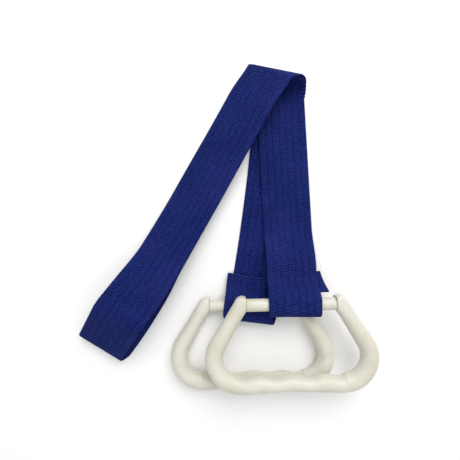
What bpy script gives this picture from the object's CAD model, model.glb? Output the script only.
"""A transfer strap: one length of blue webbing with a white moulded hand grip
looped on each end, doubled at its middle and folded over once.

Sizes are in millimetres and follow the CAD model's; MM turns them into metres
when a mesh is made. +Y runs from the grips towards the fold in the strap.
"""
import math

import bmesh
import bpy
import numpy as np
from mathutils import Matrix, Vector


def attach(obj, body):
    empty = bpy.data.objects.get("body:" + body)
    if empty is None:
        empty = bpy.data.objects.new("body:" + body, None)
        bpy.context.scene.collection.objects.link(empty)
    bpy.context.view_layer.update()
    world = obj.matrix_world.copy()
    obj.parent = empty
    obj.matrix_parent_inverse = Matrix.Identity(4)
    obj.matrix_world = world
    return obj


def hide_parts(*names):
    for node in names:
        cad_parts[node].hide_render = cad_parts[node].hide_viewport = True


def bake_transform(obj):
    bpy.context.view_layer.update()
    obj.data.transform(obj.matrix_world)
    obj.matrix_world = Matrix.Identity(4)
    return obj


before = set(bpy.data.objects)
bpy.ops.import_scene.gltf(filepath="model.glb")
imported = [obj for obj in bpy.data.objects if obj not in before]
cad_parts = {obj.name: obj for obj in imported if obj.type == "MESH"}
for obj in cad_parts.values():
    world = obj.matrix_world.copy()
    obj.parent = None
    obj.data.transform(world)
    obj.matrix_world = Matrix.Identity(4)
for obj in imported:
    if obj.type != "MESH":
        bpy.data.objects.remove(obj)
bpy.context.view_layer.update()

MM = 0.001

# ---------------------------------------------------------------- the webbing's route
WEB_W = 50.0
WEB_T = 2.0
HALF_W = WEB_W / 2
PITCH = 2.3                      # between the middles of two stacked layers
GROUND = WEB_T / 2

BAR_SPAN = 87.0
BAR_D = 12.4
GRIP_D = 18.0
FRONT_BAR = np.array([63.6, -76.2, 27.4])
REAR_BAR = np.array([27.0, -81.3, GRIP_D / 2])
HANDLE_YAW = 1.2
OVER_BAR = BAR_D / 2 + 0.4 + WEB_T / 2

LEG_START = np.array([41.7, 156.6])
LEG_LEAN = 29.5
LEG_LEN = 325.0
HUMP_Z = 41.0
HUMP_AT = 278.7


def vec(x, y, z=0.0):
    return np.array([x, y, z], float)


def ahead(a):
    """The heading a, in degrees clockwise from +Y."""
    a = math.radians(a)
    return vec(math.sin(a), math.cos(a))


def across(a):
    a = math.radians(a)
    return vec(math.cos(a), -math.sin(a))


def cos_d(a):
    return math.cos(math.radians(a))


def sin_d(a):
    return math.sin(math.radians(a))


def mix(a, b, u):
    return a + (b - a) * u


def ease(a, b, u):
    return mix(a, b, (1 - cos_d(180 * min(max(u, 0), 1))) / 2)


def steps(a, b, n):
    """n + 1 numbers from a to b."""
    return [a + (b - a) * i / n for i in range(n + 1)]


def station(c, a, half, rise=0.0):
    """The webbing's left and right edge at mid thickness; the right one stands rise above the middle."""
    w = math.sqrt(half * half - rise * rise) * across(a) + vec(0, 0, rise)
    return c - w, c + w


# The rear end: s runs from the crossbar away from the legs
REAR_HEADING = 7.0
REAR_FLAP_Z = GROUND + PITCH
REAR_TAIL_Z = REAR_FLAP_Z + PITCH
REAR_TOP_Z = REAR_BAR[2] + OVER_BAR
REAR_TURN_R = (REAR_TOP_Z - GROUND) / 2
REAR_TURN_S = 8.8
REAR_HEM_S = -27.5
REAR_FOOT_S = -21.0
REAR_CREST_S = -3.0
REAR_TAIL_SIDE = -3.0
REAR_LEG_SIDE = 3.0
REAR_SEWN_S = -25.0
HEM_R = PITCH / 2


def rear_at(s, z, side):
    c = vec(REAR_BAR[0], REAR_BAR[1], z) - s * ahead(REAR_HEADING) + side * across(REAR_HEADING)
    return station(c, REAR_HEADING, HALF_W)


def rear_hem():
    rows = [rear_at(s, REAR_FLAP_Z, REAR_TAIL_SIDE) for s in steps(-13, REAR_HEM_S, 15)]
    for a in steps(10, 170, 16):
        rows.append(rear_at(REAR_HEM_S - HEM_R * sin_d(a), REAR_FLAP_Z + HEM_R * (1 - cos_d(a)),
                            REAR_TAIL_SIDE))
    return rows


def rear_bar_loop():
    rows = [rear_at(s, REAR_TAIL_Z, REAR_TAIL_SIDE) for s in steps(REAR_HEM_S, REAR_FOOT_S, 6)[:-1]]
    for u in steps(0, 1, 36):
        rows.append(rear_at(mix(REAR_FOOT_S, REAR_CREST_S, u), ease(REAR_TAIL_Z, REAR_TOP_Z, u),
                            REAR_TAIL_SIDE))
    for u in steps(0, 1, 50):
        a = 180 * u
        rows.append(rear_at(REAR_TURN_S + REAR_TURN_R * sin_d(a),
                            REAR_TOP_Z - REAR_TURN_R * (1 - cos_d(a)),
                            ease(REAR_TAIL_SIDE, REAR_LEG_SIDE, u)))
    rows += [rear_at(s, GROUND, REAR_LEG_SIDE) for s in steps(6, -28, 34)]
    return rows


# The fold at the top: a cone that opens to the right, square to the folded leg
FOLD_FLARE = 0.19
FLARE_HALF = FOLD_FLARE * HALF_W
FOLD_RISE = 2 * FLARE_HALF       # the folded leg leans, with its right edge up
TILTED_PITCH = PITCH + 0.3      # between the middles of two tilted layers
OUTER_FOLD_R = 8.45
INNER_FOLD_R = OUTER_FOLD_R - (PITCH + TILTED_PITCH / math.sqrt(1 - (FOLD_RISE / HALF_W) ** 2)) / 2
REAR_FOLD = LEG_START + 17.9 * across(LEG_LEAN)[:2]
FRONT_FOLD = LEG_START + 16.8 * across(LEG_LEAN)[:2]
FRONT_LEG_Z = GROUND + PITCH
SLIDE_POWER = 1.7                # how soon the webbing slides sideways round the fold
TOP_SIDE = 2.6                   # the folded leg's first stretch draws in from the fold's side
TOP_T = 35.0
FOLD_END = LEG_START + TOP_SIDE * across(LEG_LEAN)[:2]


def fold_at(start, r, base_z, half_a, a):
    """One station of the fold: a is 0 at the straight leg and 180 at the folded one."""
    c = mix(start, FOLD_END, (a / 180) ** SLIDE_POWER)
    h = mix(half_a, math.sqrt(HALF_W ** 2 - FOLD_RISE ** 2), a / 180)
    edges = []
    for side in (-1, 1):
        re = r + side * FLARE_HALF
        edges.append(vec(c[0], c[1], base_z) + side * h * across(LEG_LEAN)
                     + re * sin_d(a) * ahead(LEG_LEAN) + vec(0, 0, re * (1 - cos_d(a))))
    return edges[0], edges[1]


# The folded leg: t runs along it from the fold
PART_T = 150.0
END_R = 5.0
END_SLOPE = 32.0
CREASE_HALF = 7.7
CLIMB = 0.42
SETTLE_T = 90.0                  # where its left edge comes down to the ground
LEG_TILT = 7.2
TILT_T = 150.0
LEVEL_FROM = 215.0
LEVEL_RUN = 50.0
BEND_FROM = 215.0                # its far part bends to the left
LEG_BEND = 7.5
END_LEAN = 31.3
PART_SIDE = 2.2                  # the upper layer bends more than the lower one


def leg_rise(t):
    return ease(ease(FOLD_RISE, LEG_TILT, t / TILT_T), 0, (t - LEVEL_FROM) / LEVEL_RUN)


def leg_lay(t):
    left = FRONT_LEG_Z + 2 * (INNER_FOLD_R - FLARE_HALF) - GROUND
    return GROUND + leg_rise(t) + ease(left, 0, t / SETTLE_T)


def layer_lift(t):
    return TILTED_PITCH * HALF_W / math.sqrt(HALF_W ** 2 - leg_rise(t) ** 2)


def lower_side(t):
    return ease(0, PART_SIDE, (t - BEND_FROM) / (LEG_LEN - BEND_FROM))


def leg_at(t, z, rise, side):
    bent = max(t - BEND_FROM, 0) / (LEG_LEN - BEND_FROM)
    c = (vec(LEG_START[0], LEG_START[1], z) - t * ahead(LEG_LEAN)
         + (side + ease(TOP_SIDE, 0, t / TOP_T) - LEG_BEND * bent * bent) * across(LEG_LEAN))
    return station(c, mix(LEG_LEAN, END_LEAN, min(bent, 1)), HALF_W, rise)


def hump_lay(t):
    d = HUMP_AT - PART_T
    u = (t - PART_T) / d
    foot = leg_lay(PART_T) + layer_lift(PART_T)
    return mix(foot, HUMP_Z, 3 * u * u - 2 * u ** 3) + d * CLIMB * (u ** 3 - u * u)


def upper_lay(t):
    return leg_lay(t) + layer_lift(t) if t < PART_T else hump_lay(t)


def lower_at(t):
    return leg_at(t, leg_lay(t), leg_rise(t), lower_side(t))


def end_at(p, side):
    return leg_at(p[0], p[1], 0, side)


HUMP = np.array([HUMP_AT, HUMP_Z])
CREASE_IN = np.array([HUMP_AT - CREASE_HALF, HUMP_Z - CLIMB * CREASE_HALF])
END_TOP = np.array([LEG_LEN + END_R * sin_d(END_SLOPE), GROUND + END_R * (1 + cos_d(END_SLOPE))])
CREASE_OUT = mix(HUMP, END_TOP, 0.16)


def outer_leg():
    return [leg_at(t, upper_lay(t), leg_rise(t), -lower_side(t))
            for t in steps(0, CREASE_IN[0] - 2, 130)]


def loop_end():
    rows = []
    for u in steps(0, 1, 20):
        p = mix(mix(CREASE_IN, HUMP, u), mix(HUMP, CREASE_OUT, u), u)
        rows.append(end_at(p, -lower_side(p[0])))
    for u in steps(0, 1, 30)[1:-1]:
        p = mix(CREASE_OUT, END_TOP, u)
        rows.append(end_at(p, -lower_side(p[0])))
    for u in steps(0, 1, 40):
        a = math.radians(mix(90 - END_SLOPE, -90, u))
        p = (LEG_LEN + END_R * math.cos(a), GROUND + END_R * (1 + math.sin(a)))
        rows.append(end_at(p, mix(-PART_SIDE, PART_SIDE, u)))
    rows += [lower_at(t) for t in steps(LEG_LEN - 1, 302, 25)]
    return rows


def inner_leg():
    return [lower_at(t) for t in steps(300, 1, 150)]


# The two straight legs
LEG_BOW = 2.4
SLANT_FROM = 0.7                 # the share of a straight leg after which it turns to the fold line
REAR_LEG_FROM = (REAR_BAR + 30 * ahead(REAR_HEADING) + REAR_LEG_SIDE * across(REAR_HEADING))[:2]


def lean_between(a, b):
    return math.degrees(math.atan((b[0] - a[0]) / (b[1] - a[1])))


REAR_LEAN = lean_between(REAR_LEG_FROM, REAR_FOLD)


def rear_leg():
    rows = []
    for u in steps(0, 0.995, 140):
        c = mix(REAR_LEG_FROM, REAR_FOLD, u)
        a = ease(REAR_LEAN, LEG_LEAN, (u - SLANT_FROM) / (1 - SLANT_FROM))
        rows.append(station(vec(c[0] + LEG_BOW * 4 * u * (1 - u), c[1], GROUND), a,
                            HALF_W / cos_d(a - REAR_LEAN)))
    return rows


# The front end: heights of the sewn stack, from the tail up to the leg
FRONT_TAIL_Z = REAR_TAIL_Z + PITCH + 0.1
FRONT_SEWN_Z = FRONT_TAIL_Z + 2 * PITCH
FRONT_TURN_S = 3.5
FRONT_FOOT_S = -26.0
FRONT_CREST_S = -3.5
FRONT_SEWN_S = -28.5
FRONT_LEG_S = -31.5
FRONT_LEG_SIDE = 4.0
FRONT_BAR_SIDE = 3.4
FRONT_TAIL_SIDE = 4.5
FRONT_LEG_TO = np.array([FRONT_BAR[0] + FRONT_LEG_SIDE, FRONT_BAR[1] - FRONT_LEG_S])
FRONT_LEAN = lean_between(FRONT_LEG_TO, FRONT_FOLD)
HEM_LINE = (vec(48.1, -53.9), vec(97.4, -47.9))
RAW_LINE = (vec(50.7, -66.4), vec(103.6, -65.4))


def front_at(s, z, side):
    return station(vec(FRONT_BAR[0] + side, FRONT_BAR[1] - s, z), 0, HALF_W)


def front_leg():
    rows = []
    for u in steps(0.005, 0.99, 100):
        c = mix(FRONT_FOLD, FRONT_LEG_TO, u)
        a = ease(LEG_LEAN, FRONT_LEAN, u / (1 - SLANT_FROM))
        z = ease(FRONT_LEG_Z, FRONT_SEWN_Z, (u - 0.78) / 0.2)
        rows.append(station(vec(c[0], c[1], z), a, HALF_W / cos_d(a - FRONT_LEAN)))
    return rows


def tail_lay(y):
    """Height of the front tail where it runs from under the crossbar up to the stack."""
    return ease(FRONT_BAR[2] - OVER_BAR, FRONT_TAIL_Z, (y - FRONT_BAR[1] - 4) / 18)


def front_bar_loop():
    rows = [front_at(s, FRONT_SEWN_Z, FRONT_LEG_SIDE)
            for s in steps(FRONT_LEG_S, FRONT_FOOT_S, 6)[:-1]]
    for u in steps(0, 1, 40):
        rows.append(front_at(mix(FRONT_FOOT_S, FRONT_CREST_S, u),
                             ease(FRONT_SEWN_Z, FRONT_BAR[2] + OVER_BAR, u),
                             mix(FRONT_LEG_SIDE, FRONT_BAR_SIDE, u)))
    for u in steps(0, 1, 50):
        a = 180 * u
        rows.append(front_at(FRONT_TURN_S + OVER_BAR * sin_d(a), FRONT_BAR[2] + OVER_BAR * cos_d(a),
                             mix(FRONT_BAR_SIDE, FRONT_TAIL_SIDE, u)))
    for u in steps(0, 0.98, 30):
        flat = front_at(mix(-4, -22, u), 0, FRONT_TAIL_SIDE)
        edges = [mix(p, q - vec(0, 4), u * u) for p, q in zip(flat, HEM_LINE)]
        rows.append(tuple(vec(p[0], p[1], tail_lay(p[1])) for p in edges))
    return rows


def front_hem():
    rows = [tuple(vec(p[0], p[1] + back, tail_lay(p[1] + back)) for p in HEM_LINE)
            for back in (-3, -2, -1)]
    for a in steps(0, 180, 18):
        lift = vec(0, HEM_R * sin_d(a), FRONT_TAIL_Z + HEM_R * (1 - cos_d(a)))
        rows.append(tuple(p + lift for p in HEM_LINE))
    for u in steps(0, 1, 20)[1:]:
        edges = [mix(p, q, u) for p, q in zip(HEM_LINE, RAW_LINE)]
        rows.append(tuple(vec(p[0], p[1], tail_lay(p[1]) + PITCH + 0.8 * u) for p in edges))
    return rows


def outer_fold():
    half = HALF_W / cos_d(LEG_LEAN - REAR_LEAN)
    return [fold_at(REAR_FOLD, OUTER_FOLD_R, GROUND, half, a) for a in steps(0, 178, 80)]


def inner_fold():
    half = HALF_W / cos_d(LEG_LEAN - FRONT_LEAN)
    return [fold_at(FRONT_FOLD, INNER_FOLD_R, FRONT_LEG_Z, half, a) for a in steps(180, 2, 80)]


# In order along the strap, from one raw end to the other
STRETCHES = [rear_hem, rear_bar_loop, rear_leg, outer_fold, outer_leg, loop_end,
             inner_leg, inner_fold, front_leg, front_bar_loop, front_hem]


class Strap:
    """The whole route as a dense run of stations, measured along its middle."""

    def __init__(self):
        rows, first = [], []
        for stretch in STRETCHES:
            first.append(len(rows))
            rows += stretch()
        self.left = np.array([r[0] for r in rows])
        self.right = np.array([r[1] for r in rows])
        middle = (self.left + self.right) / 2
        hops = np.linalg.norm(np.diff(middle, axis=0), axis=1)
        self.run = np.concatenate([[0], np.cumsum(hops)])
        self.ends = [self.run[i] for i in first] + [self.run[-1]]

    def edges(self, v):
        """Left and right edge points at the distances v."""
        return [np.stack([np.interp(v, self.run, side[:, k]) for k in range(3)], axis=1)
                for side in (self.left, self.right)]

    def nearest(self, point, between):
        """The distance along the strap of the station nearest to point."""
        v = np.linspace(self.ends[between], self.ends[between + 1], 400)
        left, right = self.edges(v)
        return v[np.argmin(np.linalg.norm((left + right) / 2 - point, axis=1))]


strap = Strap()

# ---------------------------------------------------------------- the webbing's surface
RIB = 2.0                        # pitch of the ribs across the webbing
ROW = RIB / 4
BANDS = 7                        # lengthwise bands, whose ribs are staggered
BAND_W = WEB_W / BANDS
CORE = 0.84                      # half the thickness, without the ribs
RIB_HIGH = 0.13
LINE_DEEP = 0.2                  # the fine grooves between the bands
LINE_HALF = 0.45
SCALLOP = 0.5                   # how far the selvedge stands out at a rib
ARC = (60, 30, 0, -30, -60)      # round the selvedge, in degrees
UV_SCALE = 0.01                  # the weave's coordinates are in tenths of a metre


def rib_wave(phase):
    """1 on a rib's crest and -1 in the groove beside it."""
    return 1 - 2 * np.abs(np.sin(np.pi * phase)) ** 3


def face_columns():
    """(distance across, band, whether it is a line between bands), from left to right."""
    columns = []
    for band in range(BANDS):
        x = band * BAND_W - HALF_W
        if band > 0:
            columns.append((x, band, True))
        for offset in (LINE_HALF, BAND_W / 2, BAND_W - LINE_HALF):
            columns.append((x + offset, band, False))
    limit = HALF_W - CORE
    return [(min(max(x, -limit), limit), band, line) for x, band, line in columns]


def section(v, dent):
    """The webbing's section at each distance in v, going once round it.
    Returns its distance across, its height and the weave's U, one row per distance."""
    across_mm, height, u = [], [], []
    columns = face_columns()
    for side in (1, -1):
        for x, band, line in columns[::side]:
            rib = 0 * v if line else rib_wave(v / RIB + 0.5 * (band % 2))
            h = CORE + RIB_HIGH * rib - (LINE_DEEP if line else 0) - dent
            across_mm.append(0 * v + x)
            height.append(side * h)
            u.append(x)
        for angle in ARC:
            out = CORE + SCALLOP * (rib_wave(v / RIB) + 1) / 2
            across_mm.append(0 * v + side * (HALF_W - CORE + out * cos_d(angle)))
            height.append(0 * v + side * CORE * sin_d(angle))
            u.append(side * (HALF_W + CORE * (1 - angle / 90)))
    return np.array(across_mm).T, np.array(height).T, np.array(u)


def new_mesh(name, points, faces, smooth, material):
    """An object from points in millimetres."""
    mesh = bpy.data.meshes.new(name)
    mesh.from_pydata((np.array(points) * MM).tolist(), [], faces)
    mesh.polygons.foreach_set("use_smooth", smooth)
    mesh.materials.append(material)
    mesh.update()
    obj = bpy.data.objects.new(name, mesh)
    bpy.context.scene.collection.objects.link(obj)
    return obj


def tube_faces(rows, around):
    """Quads over rows of points that each go once round, and a flat cap on both ends."""
    faces = []
    for i in range(rows - 1):
        for j in range(around):
            k = (j + 1) % around
            faces.append((i * around + j, i * around + k, (i + 1) * around + k, (i + 1) * around + j))
    caps = [tuple(range(around))[::-1], tuple((rows - 1) * around + j for j in range(around))]
    return faces + caps


TANGENT_REACH = 0.8              # the run over which the webbing's direction is measured
SEAM_WIDTH = 1.0
SEAM_DEPTH = 0.55


def webbing(name, index, material, seams=()):
    """One stretch of the strap, woven, as a closed band. seams are distances of rows of stitches."""
    start, end = strap.ends[index], strap.ends[index + 1]
    first = math.ceil(start / ROW + 0.2)
    last = math.floor(end / ROW - 0.2)
    v = np.concatenate([[start], np.arange(first, last + 1) * ROW, [end]])
    left, right = strap.edges(v)
    before, after = (strap.edges(v + reach) for reach in (-TANGENT_REACH, TANGENT_REACH))
    forward = (after[0] + after[1] - before[0] - before[1])
    spread = right - left
    normal = np.cross(spread, forward)
    normal /= np.linalg.norm(normal, axis=1)[:, None]
    dent = sum((SEAM_DEPTH * np.exp(-((v - seam) / SEAM_WIDTH) ** 2) for seam in seams), 0 * v)
    x, h, u = section(v, dent)
    points = ((left + right)[:, None] / 2 + spread[:, None] * (x / WEB_W)[..., None]
              + normal[:, None] * h[..., None])
    rows, around = x.shape
    faces = tube_faces(rows, around)
    smooth = [True] * (len(faces) - 2) + [False] * 2
    obj = new_mesh(name, points.reshape(-1, 3), faces, smooth, material)
    corner = np.zeros(len(obj.data.loops), np.int32)
    obj.data.loops.foreach_get("vertex_index", corner)
    weave = np.stack([u[corner % around], v[corner // around]], axis=1) * UV_SCALE
    obj.data.uv_layers.new(name="weave").data.foreach_set("uv", weave.astype(np.float32).ravel())
    return obj


# ---------------------------------------------------------------- materials
def node_material(name):
    """A new material, its tree and its Principled shader."""
    material = bpy.data.materials.new(name)
    material.use_nodes = True
    tree = material.node_tree
    return material, tree, tree.nodes["Principled BSDF"]


class Number:
    """A number that a material's nodes work out; +, -, * and / add Math nodes."""

    def __init__(self, tree, socket):
        self.tree = tree
        self.socket = socket

    def math(self, operation, *others, clamp=False):
        node = self.tree.nodes.new("ShaderNodeMath")
        node.operation = operation
        node.use_clamp = clamp
        for i, value in enumerate((self, *others)):
            if isinstance(value, Number):
                self.tree.links.new(value.socket, node.inputs[i])
            else:
                node.inputs[i].default_value = value
        return Number(self.tree, node.outputs[0])

    def __add__(self, other):
        return self.math("ADD", other)

    def __sub__(self, other):
        return self.math("SUBTRACT", other)

    def __mul__(self, other):
        return self.math("MULTIPLY", other)

    def __truediv__(self, other):
        return self.math("DIVIDE", other)

    def smooth_between(self, low, high):
        """0 below low, 1 above high, and a smooth step between."""
        node = self.tree.nodes.new("ShaderNodeMapRange")
        node.interpolation_type = "SMOOTHSTEP"
        node.inputs["From Min"].default_value = low
        node.inputs["From Max"].default_value = high
        self.tree.links.new(self.socket, node.inputs["Value"])
        return Number(self.tree, node.outputs["Result"])


def noise(tree, scale, detail=3.0, vector=None):
    """Noise of about scale bumps to the metre, from 0 to 1."""
    node = tree.nodes.new("ShaderNodeTexNoise")
    node.inputs["Scale"].default_value = scale
    node.inputs["Detail"].default_value = detail
    if vector is None:
        vector = tree.nodes.new("ShaderNodeTexCoord").outputs["Object"]
    tree.links.new(vector, node.inputs["Vector"])
    return Number(tree, node.outputs["Fac"])


def blend_colours(tree, factor, a, b):
    """A colour from a at factor 0 to b at 1; a and b are colours or sockets."""
    node = tree.nodes.new("ShaderNodeMix")
    node.data_type = "RGBA"
    tree.links.new(factor.socket, node.inputs["Factor"])
    for value, socket in ((a, node.inputs[6]), (b, node.inputs[7])):
        if isinstance(value, tuple):
            socket.default_value = (*value, 1)
        else:
            tree.links.new(value, socket)
    return node.outputs[2]


def add_bump(tree, shader, height, strength, distance):
    bump = tree.nodes.new("ShaderNodeBump")
    bump.inputs["Strength"].default_value = strength
    bump.inputs["Distance"].default_value = distance
    tree.links.new(height.socket, bump.inputs["Height"])
    tree.links.new(bump.outputs["Normal"], shader.inputs["Normal"])


YARN = 0.83                      # pitch of the lengthwise yarns


def webbing_material():
    material, tree, shader = node_material("webbing")
    uv = tree.nodes.new("ShaderNodeUVMap")
    uv.uv_map = "weave"
    split = tree.nodes.new("ShaderNodeSeparateXYZ")
    tree.links.new(uv.outputs["UV"], split.inputs["Vector"])
    x = Number(tree, split.outputs["X"]) / UV_SCALE + HALF_W
    v = Number(tree, split.outputs["Y"]) / UV_SCALE
    band = x / BAND_W
    stagger = band.math("FLOOR").math("MODULO", 2.0) * 0.5
    phase = v / RIB + stagger
    rib = ((phase * (2 * math.pi)).math("COSINE") * 0.5 + 0.5).math("POWER", 1.5)
    row = (phase + 0.5).math("FLOOR")
    yarn = ((x / YARN + row * 0.5) * math.pi).math("SINE").math("ABSOLUTE")
    line = (band.math("FRACT") - 0.5).math("ABSOLUTE").smooth_between(0.42, 0.5)
    floats = rib * (yarn * 0.5 + 0.5) * (line * -0.9 + 1)
    slub = noise(tree, 680, 3)
    patches = noise(tree, 26, 4)
    light = floats * 0.95 + (slub - 0.5) * 1.5 + (patches - 0.5) * 0.7 + 0.1
    blue = blend_colours(tree, patches.smooth_between(0.35, 0.68),
                         (0.0115, 0.0325, 0.255), (0.0165, 0.0300, 0.215))
    colour = blend_colours(tree, light.math("MULTIPLY", 1.0, clamp=True), (0.001, 0.002, 0.02), blue)
    tree.links.new(colour, shader.inputs["Base Color"])
    tree.links.new((floats * -0.16 + 0.86).socket, shader.inputs["Roughness"])
    shader.inputs["Specular IOR Level"].default_value = 0.1
    shader.inputs["Sheen Weight"].default_value = 0.03
    shader.inputs["Sheen Roughness"].default_value = 0.5
    shader.inputs["Sheen Tint"].default_value = (0.25, 0.35, 0.9, 1)
    add_bump(tree, shader, floats * 0.8 + slub * 0.25, 0.8, 0.25 * MM)
    return material


def thread_material():
    material, tree, shader = node_material("thread")
    ply = noise(tree, 2600, 1)
    colour = blend_colours(tree, ply.smooth_between(0.35, 0.65),
                           (0.006, 0.009, 0.07), (0.02, 0.03, 0.2))
    tree.links.new(colour, shader.inputs["Base Color"])
    tree.links.new((ply * 0.3 + 0.5).socket, shader.inputs["Roughness"])
    shader.inputs["Specular IOR Level"].default_value = 0.2
    add_bump(tree, shader, ply, 0.6, 0.15 * MM)
    return material


def plastic_material():
    material, tree, shader = node_material("handle_plastic")
    tint = noise(tree, 30, 3)
    flow = noise(tree, 75, 4)
    grain = noise(tree, 1500, 2)
    ivory = blend_colours(tree, tint.smooth_between(0.32, 0.7),
                          (0.67, 0.655, 0.585), (0.61, 0.585, 0.485))
    colour = blend_colours(tree, flow.smooth_between(0.5, 0.8) * 0.5, ivory, (0.50, 0.495, 0.41))
    tree.links.new(colour, shader.inputs["Base Color"])
    tree.links.new((flow * 0.22 + 0.28).socket, shader.inputs["Roughness"])
    shader.inputs["Specular IOR Level"].default_value = 0.45
    shader.inputs["Subsurface Weight"].default_value = 0.12
    shader.inputs["Subsurface Radius"].default_value = (0.006, 0.005, 0.0035)
    shader.inputs["Subsurface Scale"].default_value = 1.0
    add_bump(tree, shader, flow * 0.7 + grain * 0.12, 0.25, 0.5 * MM)
    return material


def floor_material():
    material, tree, shader = node_material("floor")
    shader.inputs["Base Color"].default_value = (0.92, 0.92, 0.92, 1)
    shader.inputs["Roughness"].default_value = 0.9
    shader.inputs["Specular IOR Level"].default_value = 0.1
    return material


WEBBING = webbing_material()
THREAD = thread_material()
PLASTIC = plastic_material()

# ---------------------------------------------------------------- the strap's pieces
REAR_SEAM = strap.nearest(np.append((REAR_BAR - REAR_SEWN_S * ahead(REAR_HEADING)
                                     + REAR_TAIL_SIDE * across(REAR_HEADING))[:2], REAR_TAIL_Z), 1)
FRONT_SEAM = strap.nearest(vec(FRONT_BAR[0] + FRONT_LEG_SIDE, FRONT_BAR[1] - FRONT_SEWN_S,
                               FRONT_SEWN_Z), 9)
SEAMS = {"rear_bar_loop": [REAR_SEAM], "front_bar_loop": [FRONT_SEAM]}
BODY = {"outer_leg": "folded_leg", "loop_end": "folded_leg", "inner_leg": "folded_leg"}


BEND_MARGIN = 1.2


def bend_line(straight, low, radius, lean):
    """Two points on a line square to the folded leg's tilted start: up to the first one the
    fold stays with the straight leg, and from the second one it turns with the folded leg."""
    lift = vec(0, 0, 1) - FOLD_RISE / math.sqrt(HALF_W ** 2 - FOLD_RISE ** 2) * across(LEG_LEAN)
    lift /= np.linalg.norm(lift)
    top = vec(*FOLD_END, low + 2 * radius)
    corner = vec(*straight, low) - HALF_W / cos_d(LEG_LEAN - lean) * across(LEG_LEAN)
    depth = (top - corner) @ lift - BEND_MARGIN
    return Vector(top - depth * lift) * MM, Vector(top - BEND_MARGIN * lift) * MM


def make_strap():
    for index, stretch in enumerate(STRETCHES):
        node = stretch.__name__
        piece = webbing(node + "_web", index, WEBBING, SEAMS.get(node, ()))
        if node in ("outer_fold", "inner_fold"):
            if node == "outer_fold":
                start, end = bend_line(REAR_FOLD, GROUND, OUTER_FOLD_R, REAR_LEAN)
            else:
                start, end = bend_line(FRONT_FOLD, FRONT_LEG_Z, INNER_FOLD_R, FRONT_LEAN)
            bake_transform(piece)
        else:
            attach(piece, BODY.get(node, "strap"))
        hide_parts(node)


STITCH_LONG = 2.8
STITCH_WIDE = 0.9
STITCH_PITCH = 4.0
STITCH_COUNT = 11


def stitch_points():
    """One stitch along X: a thread that rises out of the webbing and dips back into it."""
    rows = []
    for u in steps(-1, 1, 12):
        girth = STITCH_WIDE / 2 * math.sqrt(max(1 - 0.9 * u ** 4, 0.05))
        lift = 0.12 - 0.35 * u ** 4
        rows.append([vec(u * STITCH_LONG / 2, girth * cos_d(a), lift + 0.55 * girth * sin_d(a))
                     for a in range(0, 360, 45)])
    return rows


def stitching(name, centre, heading, node):
    points, faces = [], []
    for i in range(STITCH_COUNT):
        shift = (i - (STITCH_COUNT - 1) / 2) * STITCH_PITCH
        rows = stitch_points()
        base = len(points)
        for row in rows:
            for p in row:
                points.append(centre + (p[0] + shift) * across(heading) + p[1] * ahead(heading)
                              + vec(0, 0, p[2]))
        faces += [tuple(base + k for k in f) for f in tube_faces(len(rows), len(rows[0]))]
    obj = new_mesh(name, points, faces, [True] * len(faces), THREAD)
    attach(obj, "strap")
    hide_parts(node)


def make_stitching():
    dip = CORE - SEAM_DEPTH + 0.1
    rear = REAR_BAR - REAR_SEWN_S * ahead(REAR_HEADING) + REAR_TAIL_SIDE * across(REAR_HEADING)
    rear[2] = REAR_TAIL_Z + dip
    front = vec(FRONT_BAR[0] + FRONT_LEG_SIDE, FRONT_BAR[1] - FRONT_SEWN_S, FRONT_SEWN_Z + dip)
    stitching("rear_stitches", rear, REAR_HEADING, "rear_stitching")
    stitching("front_stitches", front, 0, "front_stitching")


# ---------------------------------------------------------------- the handles
GRIP_DROP = 77.0
CORNER = vec(50.4, 25.3 - GRIP_DROP)
CORNER_R = 25.3
ARM_LEAN = 33.0
ARM_FOOT = CORNER + CORNER_R * vec(cos_d(ARM_LEAN), sin_d(ARM_LEAN))
ARM_TIP = vec(47.3, 1.6)
GRIP_TOP = -68.2
GRIP_FOOT = -86.0
WAVE = 32.0                      # pitch of the finger grooves
AROUND = 40
PARTING = 0.12                   # height of the mould's parting line
END_CUT = 11.0                   # radius within which the arms are cut flat beside the bar
SPIGOT_D = 8.0
SPIGOT_LEN = 5.6


def grip_edges(x):
    """Top and bottom of the grip's straight part at x."""
    fade = 1 - ease(0, 1, (x - 44) / 14)
    groove = (1 - math.cos(2 * math.pi * x / WAVE)) * (1.0 + 0.3 * ease(0, 1, (x - 24) / 20))
    hollow = 2.0 * (0.5 + 0.5 * math.cos(math.pi * min(x / 56, 1)))
    return GRIP_TOP - groove * fade, GRIP_FOOT + hollow


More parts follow.
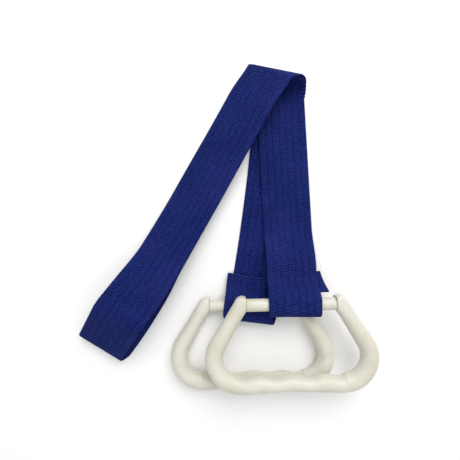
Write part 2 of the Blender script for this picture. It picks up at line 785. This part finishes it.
def grip_stations():
    """Along the right half of the grip, from its middle to the arm's tip:
    (centre, outward direction, half width, half height, squareness)."""
    out = []
    for x in steps(0, CORNER[0], 50):
        top, foot = grip_edges(x)
        out.append((vec(x, (top + foot) / 2), vec(0, -1), (top - foot) / 2, 8.7, 2.0))
    for a in steps(-90, ARM_LEAN, 36)[1:]:
        u = (a + 90) / (90 + ARM_LEAN)
        full = math.sin(math.pi * u)
        direction = vec(cos_d(a), sin_d(a))
        half = mix(8.65, 8.3, u) + 0.35 * full
        out.append((CORNER + (CORNER_R - 0.25 * full) * direction, direction, half, 8.7, 2.0))
    side = vec(cos_d(ARM_LEAN), sin_d(ARM_LEAN))
    run = ARM_TIP - ARM_FOOT
    run_side = vec(-run[1], run[0]) / np.linalg.norm(run)
    run_side = run_side if run_side[0] > 0 else -run_side
    for u in steps(0, 1, 40)[1:]:
        direction = mix(side, run_side, ease(0, 1, u / 0.3))
        direction /= np.linalg.norm(direction)
        half = mix(8.3, 7.25, ease(0, 1, u / 0.6))
        square = mix(2.0, 3.2, ease(0, 1, (u - 0.7) / 0.3))
        out.append((mix(ARM_FOOT, ARM_TIP, u), direction, half, mix(8.6, 7.5, ease(0, 1, u)), square))
    tip = run / np.linalg.norm(run)
    for a in steps(0, 88, 14)[1:]:
        reach = 7.25 * sin_d(a)
        out.append((ARM_TIP + reach * tip, run_side, 7.25 * cos_d(a),
                    7.5 * (1 - sin_d(a) ** 5) ** 0.3, 3.2))
    return out


def ring(centre, direction, half, high, square):
    """Points round the tube, with the parting line standing out at its middle plane."""
    points = []
    for k in range(AROUND):
        c, s = cos_d(360 * k / AROUND), sin_d(360 * k / AROUND)
        reach = (abs(c) ** square + abs(s) ** square) ** (-1 / square)
        seam = PARTING if k % (AROUND // 2) == 0 else 0
        points.append(centre + (half * c * reach + math.copysign(seam, c)) * direction
                      + vec(0, 0, high * s * reach))
    return points


def mirrored(st):
    centre, direction, half, high, square = st
    flip = vec(-1, 1)
    return centre * flip, direction * flip, half, high, square


def to_handle(points, bar):
    """Turns points drawn round the crossbar's middle into place."""
    a = math.radians(HANDLE_YAW)
    turn = np.array([[math.cos(a), -math.sin(a), 0], [math.sin(a), math.cos(a), 0], [0, 0, 1]])
    return np.array(points) @ turn.T + bar


def lathe(name, profile, around, bar, material, seam=0.0):
    """A solid turned about the crossbar's axis: profile is (x, radius) from end to end."""
    points = []
    for x, r in profile:
        for k in range(around):
            out = r + (seam if k % (around // 2) == 0 else 0)
            points.append(vec(x, out * cos_d(360 * k / around), out * sin_d(360 * k / around)))
    faces = tube_faces(len(profile), around)
    smooth = [True] * (len(faces) - 2) + [False] * 2
    return new_mesh(name, to_handle(points, bar), faces, smooth, material)


def face_outwards(obj):
    """Turns every face of a closed mesh outwards."""
    bm = bmesh.new()
    bm.from_mesh(obj.data)
    bmesh.ops.recalc_face_normals(bm, faces=bm.faces)
    bm.to_mesh(obj.data)
    bm.free()


def make_grip(name, bar, body, node):
    half = grip_stations()
    stations = [mirrored(st) for st in half[:0:-1]] + half
    points = [p for st in stations for p in ring(*st)]
    faces = tube_faces(len(stations), AROUND)
    obj = new_mesh(name, to_handle(points, bar), faces, [True] * len(faces), PLASTIC)
    face_outwards(obj)
    end, deep = BAR_SPAN / 2, BAR_SPAN / 2 + 6
    cutter = lathe(name + "_cutter", [(-deep, 4.1), (-end, 4.1), (-end, END_CUT), (end, END_CUT),
                                      (end, 4.1), (deep, 4.1)], 64, bar, PLASTIC)
    face_outwards(cutter)
    cut = obj.modifiers.new("bore", "BOOLEAN")
    cut.object = cutter
    cut.operation = "DIFFERENCE"
    cut.solver = "EXACT"
    depsgraph = bpy.context.evaluated_depsgraph_get()
    obj.data = bpy.data.meshes.new_from_object(obj.evaluated_get(depsgraph))
    obj.modifiers.clear()
    bpy.data.objects.remove(cutter)
    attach(obj, body)
    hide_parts(node)


def make_bar(name, bar, body, node):
    """The crossbar: a faint waist, rounded shoulders and a spigot on each end."""
    end = BAR_SPAN / 2 - 0.15
    r, spigot = BAR_D / 2, SPIGOT_D / 2
    half = [(0, r - 0.12), (14, r - 0.1), (28, r - 0.04), (38, r), (end - 0.5, r), (end - 0.15, r - 0.15),
            (end, r - 0.5), (end, spigot), (end + SPIGOT_LEN - 0.6, spigot),
            (end + SPIGOT_LEN, spigot - 0.6)]
    profile = [(-x, out) for x, out in half[:0:-1]] + half
    obj = lathe(name, profile, 48, bar, PLASTIC, seam=0.05)
    face_outwards(obj)
    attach(obj, body)
    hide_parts(node)


# ---------------------------------------------------------------- floor, light and camera
CAMERA_AT = (4.7, -3.9, 330.0)
FIELD = 311.5 / 460              # focal length as a share of the picture's width


def make_stage():
    bpy.ops.mesh.primitive_plane_add(size=4, location=(0, 0, -0.02 * MM))
    floor = bpy.context.object
    floor.name = "floor"
    floor.data.materials.append(floor_material())


def area_light(name, size, power, location, target, colour):
    data = bpy.data.lights.new(name, "AREA")
    data.shape = "DISK"
    data.size = size
    data.energy = power
    data.color = colour
    light = bpy.data.objects.new(name, data)
    light.location = location
    aim = Vector(target) - Vector(location)
    light.rotation_euler = aim.to_track_quat("-Z", "Y").to_euler()
    bpy.context.scene.collection.objects.link(light)


def make_light():
    world = bpy.data.worlds.new("studio")
    world.use_nodes = True
    background = world.node_tree.nodes["Background"]
    background.inputs["Color"].default_value = (1.0, 1.0, 1.0, 1)
    background.inputs["Strength"].default_value = 0.68
    bpy.context.scene.world = world
    area_light("key", 1.0, 11.0, (0.3, 0.75, 0.9), (0, 0, 0), (1.0, 0.99, 0.97))
    area_light("fill", 1.2, 2.0, (-0.3, -0.5, 1.2), (0, 0, 0), (0.97, 0.98, 1.0))


def make_camera():
    data = bpy.data.cameras.new("camera")
    data.sensor_width = 36.0
    data.lens = data.sensor_width * FIELD
    data.clip_start = 0.01
    camera = bpy.data.objects.new("camera", data)
    camera.location = Vector(CAMERA_AT) * MM
    bpy.context.scene.collection.objects.link(camera)
    bpy.context.scene.camera = camera


make_camera()
make_stage()
make_light()
make_strap()
make_stitching()
for side, place in (("rear", REAR_BAR), ("front", FRONT_BAR)):
    make_bar(side + "_crossbar_bar", place, side + "_bar", side + "_crossbar")
    make_grip(side + "_grip_moulding", place, side + "_handle", side + "_grip")
bpy.context.scene.view_settings.view_transform = "Standard"
